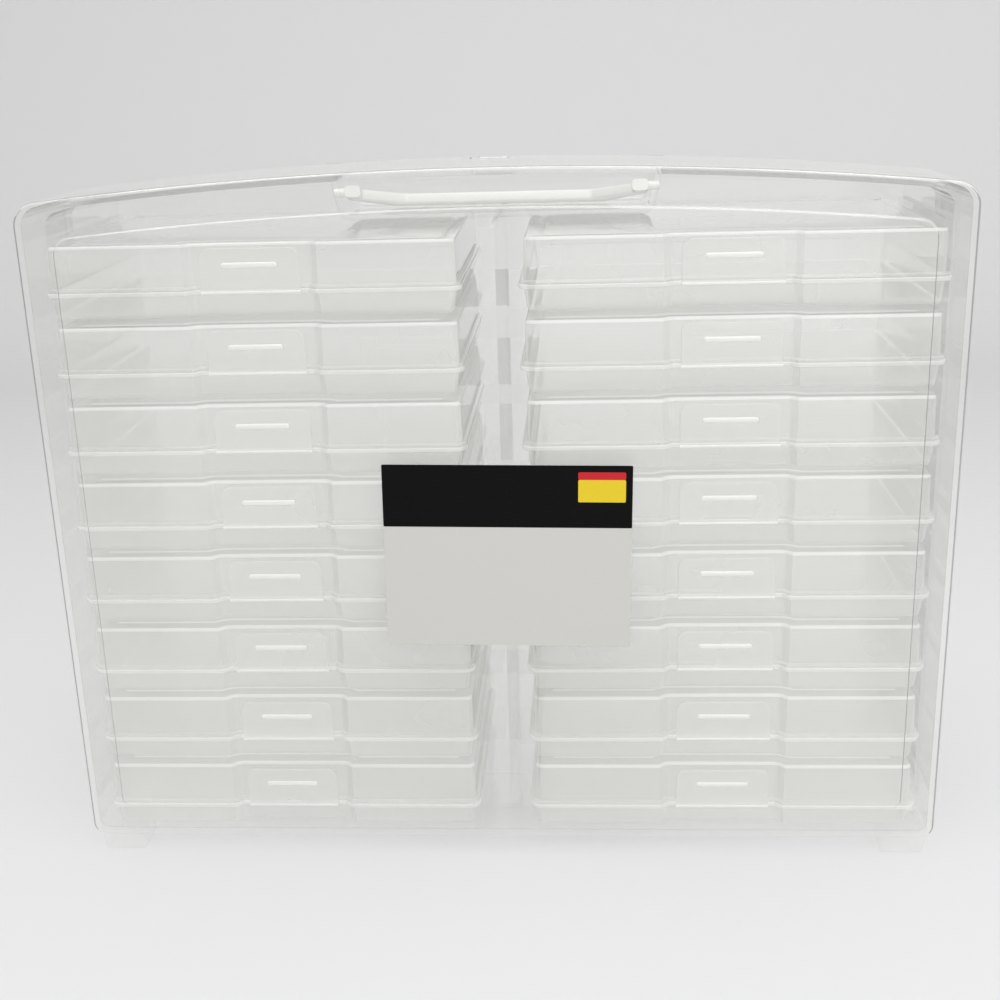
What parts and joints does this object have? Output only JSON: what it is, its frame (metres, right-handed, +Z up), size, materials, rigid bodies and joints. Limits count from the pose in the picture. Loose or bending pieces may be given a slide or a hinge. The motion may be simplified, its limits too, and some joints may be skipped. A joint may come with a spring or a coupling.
{
  "type": "photo keeper case",
  "caption": "Upright clear keeper with an arched top and swing handle; its hinged cover closes over shelved flat photo cases with snap tabs.",
  "frame": {"origin": "under the middle of the four feet", "axes": "+X to the right seen from the front, -Y towards the front cover, +Z up"},
  "size_m": [0.38, 0.129, 0.306],
  "materials": {
    "clear_shell": "clear, slightly frosted",
    "clear_case": "clear, slightly frosted",
    "clear_handle": "clear, slightly frosted"
  },
  "bodies": {
    "body": {"body_shell": "clear_shell", "handle_basin": "clear_shell", "side_rack_left": "clear_shell", "side_rack_right": "clear_shell", "crown_strip": "clear_shell", "center_divider": "clear_shell"},
    "cover": {"cover_front": "clear_shell", "cover_band": "clear_shell", "cover_base": "clear_shell"},
    "latch": {"cover_tongue": "clear_shell"},
    "handle": {"carry_handle": "clear_handle"},
    "case_left_1": {"tray_left_1": "clear_case", "lid_left_1": "clear_case"},
    "snap_left_1": {"tab_left_1": "clear_case"},
    "case_left_2": {"tray_left_2": "clear_case", "lid_left_2": "clear_case"},
    "snap_left_2": {"tab_left_2": "clear_case"},
    "case_left_3": {"tray_left_3": "clear_case", "lid_left_3": "clear_case"},
    "snap_left_3": {"tab_left_3": "clear_case"},
    "case_left_4": {"tray_left_4": "clear_case", "lid_left_4": "clear_case"},
    "snap_left_4": {"tab_left_4": "clear_case"},
    "case_left_5": {"tray_left_5": "clear_case", "lid_left_5": "clear_case"},
    "snap_left_5": {"tab_left_5": "clear_case"},
    "case_left_6": {"tray_left_6": "clear_case", "lid_left_6": "clear_case"},
    "snap_left_6": {"tab_left_6": "clear_case"},
    "case_left_7": {"tray_left_7": "clear_case", "lid_left_7": "clear_case"},
    "snap_left_7": {"tab_left_7": "clear_case"},
    "case_left_8": {"tray_left_8": "clear_case", "lid_left_8": "clear_case"},
    "snap_left_8": {"tab_left_8": "clear_case"},
    "case_right_1": {"tray_right_1": "clear_case", "lid_right_1": "clear_case"},
    "snap_right_1": {"tab_right_1": "clear_case"},
    "case_right_2": {"tray_right_2": "clear_case", "lid_right_2": "clear_case"},
    "snap_right_2": {"tab_right_2": "clear_case"},
    "case_right_3": {"tray_right_3": "clear_case", "lid_right_3": "clear_case"},
    "snap_right_3": {"tab_right_3": "clear_case"},
    "case_right_4": {"tray_right_4": "clear_case", "lid_right_4": "clear_case"},
    "snap_right_4": {"tab_right_4": "clear_case"},
    "case_right_5": {"tray_right_5": "clear_case", "lid_right_5": "clear_case"},
    "snap_right_5": {"tab_right_5": "clear_case"},
    "case_right_6": {"tray_right_6": "clear_case", "lid_right_6": "clear_case"},
    "snap_right_6": {"tab_right_6": "clear_case"},
    "case_right_7": {"tray_right_7": "clear_case", "lid_right_7": "clear_case"},
    "snap_right_7": {"tab_right_7": "clear_case"},
    "case_right_8": {"tray_right_8": "clear_case", "lid_right_8": "clear_case"},
    "snap_right_8": {"tab_right_8": "clear_case"}
  },
  "joints": [
    {"name": "cover_hinge", "type": "hinge", "parent": "body", "child": "cover", "pos_m": [0, -0.0075, 0.0062], "axis": [1, 0, 0], "range_deg": [0, 120]},
    {"name": "latch_flex", "type": "hinge", "parent": "cover", "child": "latch", "pos_m": [0, -0.0185, 0.3048], "axis": [1, 0, 0], "range_deg": [0, 25]},
    {"name": "handle_swing", "type": "hinge", "parent": "body", "child": "handle", "pos_m": [0, 0, 0.2915], "axis": [1, 0, 0], "range_deg": [0, 100]},
    {"name": "case_slide_left_1", "type": "slide", "parent": "body", "child": "case_left_1", "axis": [0, -1, 0], "range_m": [0, 0.0015]},
    {"name": "tab_hinge_left_1", "type": "hinge", "parent": "case_left_1", "child": "snap_left_1", "pos_m": [-0.09705, -0.05735, 0.023], "axis": [1, 0, 0], "range_deg": [0, 10]},
    {"name": "case_slide_left_2", "type": "slide", "parent": "body", "child": "case_left_2", "axis": [0, -1, 0], "range_m": [0, 0.0015]},
    {"name": "tab_hinge_left_2", "type": "hinge", "parent": "case_left_2", "child": "snap_left_2", "pos_m": [-0.09705, -0.05735, 0.0566], "axis": [1, 0, 0], "range_deg": [0, 10]},
    {"name": "case_slide_left_3", "type": "slide", "parent": "body", "child": "case_left_3", "axis": [0, -1, 0], "range_m": [0, 0.0015]},
    {"name": "tab_hinge_left_3", "type": "hinge", "parent": "case_left_3", "child": "snap_left_3", "pos_m": [-0.09705, -0.05735, 0.0902], "axis": [1, 0, 0], "range_deg": [0, 10]},
    {"name": "case_slide_left_4", "type": "slide", "parent": "body", "child": "case_left_4", "axis": [0, -1, 0], "range_m": [0, 0.0015]},
    {"name": "tab_hinge_left_4", "type": "hinge", "parent": "case_left_4", "child": "snap_left_4", "pos_m": [-0.09705, -0.05735, 0.1238], "axis": [1, 0, 0], "range_deg": [0, 10]},
    {"name": "case_slide_left_5", "type": "slide", "parent": "body", "child": "case_left_5", "axis": [0, -1, 0], "range_m": [0, 0.0015]},
    {"name": "tab_hinge_left_5", "type": "hinge", "parent": "case_left_5", "child": "snap_left_5", "pos_m": [-0.09705, -0.05735, 0.1574], "axis": [1, 0, 0], "range_deg": [0, 10]},
    {"name": "case_slide_left_6", "type": "slide", "parent": "body", "child": "case_left_6", "axis": [0, -1, 0], "range_m": [0, 0.0015]},
    {"name": "tab_hinge_left_6", "type": "hinge", "parent": "case_left_6", "child": "snap_left_6", "pos_m": [-0.09705, -0.05735, 0.191], "axis": [1, 0, 0], "range_deg": [0, 10]},
    {"name": "case_slide_left_7", "type": "slide", "parent": "body", "child": "case_left_7", "axis": [0, -1, 0], "range_m": [0, 0.0015]},
    {"name": "tab_hinge_left_7", "type": "hinge", "parent": "case_left_7", "child": "snap_left_7", "pos_m": [-0.09705, -0.05735, 0.2246], "axis": [1, 0, 0], "range_deg": [0, 10]},
    {"name": "case_slide_left_8", "type": "slide", "parent": "body", "child": "case_left_8", "axis": [0, -1, 0], "range_m": [0, 0.0015]},
    {"name": "tab_hinge_left_8", "type": "hinge", "parent": "case_left_8", "child": "snap_left_8", "pos_m": [-0.09705, -0.05735, 0.2582], "axis": [1, 0, 0], "range_deg": [0, 10]},
    {"name": "case_slide_right_1", "type": "slide", "parent": "body", "child": "case_right_1", "axis": [0, -1, 0], "range_m": [0, 0.0015]},
    {"name": "tab_hinge_right_1", "type": "hinge", "parent": "case_right_1", "child": "snap_right_1", "pos_m": [0.09705, -0.05735, 0.023], "axis": [1, 0, 0], "range_deg": [0, 10]},
    {"name": "case_slide_right_2", "type": "slide", "parent": "body", "child": "case_right_2", "axis": [0, -1, 0], "range_m": [0, 0.0015]},
    {"name": "tab_hinge_right_2", "type": "hinge", "parent": "case_right_2", "child": "snap_right_2", "pos_m": [0.09705, -0.05735, 0.0566], "axis": [1, 0, 0], "range_deg": [0, 10]},
    {"name": "case_slide_right_3", "type": "slide", "parent": "body", "child": "case_right_3", "axis": [0, -1, 0], "range_m": [0, 0.0015]},
    {"name": "tab_hinge_right_3", "type": "hinge", "parent": "case_right_3", "child": "snap_right_3", "pos_m": [0.09705, -0.05735, 0.0902], "axis": [1, 0, 0], "range_deg": [0, 10]},
    {"name": "case_slide_right_4", "type": "slide", "parent": "body", "child": "case_right_4", "axis": [0, -1, 0], "range_m": [0, 0.0015]},
    {"name": "tab_hinge_right_4", "type": "hinge", "parent": "case_right_4", "child": "snap_right_4", "pos_m": [0.09705, -0.05735, 0.1238], "axis": [1, 0, 0], "range_deg": [0, 10]},
    {"name": "case_slide_right_5", "type": "slide", "parent": "body", "child": "case_right_5", "axis": [0, -1, 0], "range_m": [0, 0.0015]},
    {"name": "tab_hinge_right_5", "type": "hinge", "parent": "case_right_5", "child": "snap_right_5", "pos_m": [0.09705, -0.05735, 0.1574], "axis": [1, 0, 0], "range_deg": [0, 10]},
    {"name": "case_slide_right_6", "type": "slide", "parent": "body", "child": "case_right_6", "axis": [0, -1, 0], "range_m": [0, 0.0015]},
    {"name": "tab_hinge_right_6", "type": "hinge", "parent": "case_right_6", "child": "snap_right_6", "pos_m": [0.09705, -0.05735, 0.191], "axis": [1, 0, 0], "range_deg": [0, 10]},
    {"name": "case_slide_right_7", "type": "slide", "parent": "body", "child": "case_right_7", "axis": [0, -1, 0], "range_m": [0, 0.0015]},
    {"name": "tab_hinge_right_7", "type": "hinge", "parent": "case_right_7", "child": "snap_right_7", "pos_m": [0.09705, -0.05735, 0.2246], "axis": [1, 0, 0], "range_deg": [0, 10]},
    {"name": "case_slide_right_8", "type": "slide", "parent": "body", "child": "case_right_8", "axis": [0, -1, 0], "range_m": [0, 0.0015]},
    {"name": "tab_hinge_right_8", "type": "hinge", "parent": "case_right_8", "child": "snap_right_8", "pos_m": [0.09705, -0.05735, 0.2582], "axis": [1, 0, 0], "range_deg": [0, 10]}
  ]
}
